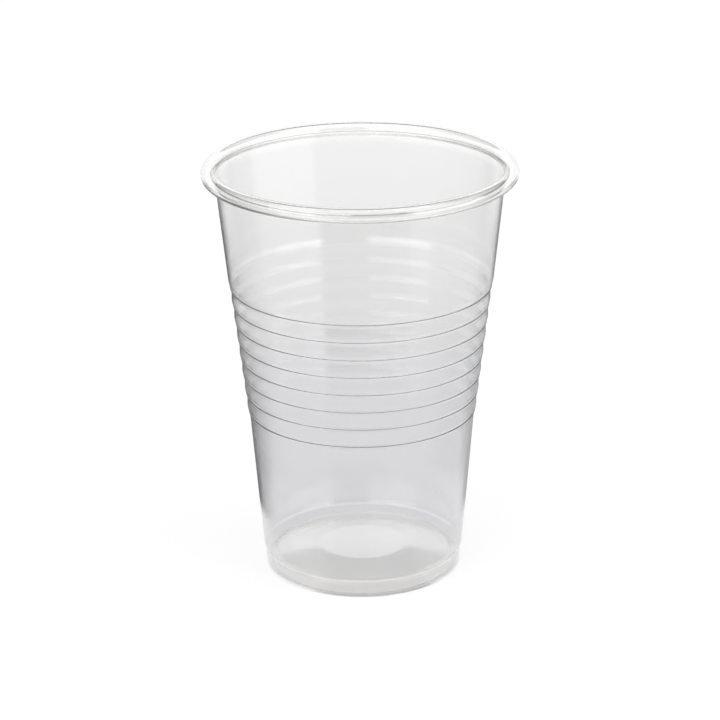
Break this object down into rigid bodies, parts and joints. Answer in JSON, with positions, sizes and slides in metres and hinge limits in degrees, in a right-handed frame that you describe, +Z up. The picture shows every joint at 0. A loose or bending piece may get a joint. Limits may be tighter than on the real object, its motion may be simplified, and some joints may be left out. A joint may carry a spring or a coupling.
{
  "type": "plastic disposable cup",
  "caption": "Clear tapered drinking cup, thermoformed in one piece, with a rolled rim, a band of stepped rings round the wall and a base raised inside a hollow foot.",
  "frame": {"origin": "centre of the ring that the cup stands on, on the floor", "axes": "+Z up along the cup's axis, out through the mouth; X and Y lie across it and are alike, because the cup is round"},
  "size_m": [0.0702, 0.0702, 0.0948],
  "materials": {
    "clear_plastic": "clear, faintly hazy polypropylene sheet with a glossy drawn surface"
  },
  "bodies": {
    "root": {"cup": "clear_plastic"}
  },
  "joints": []
}
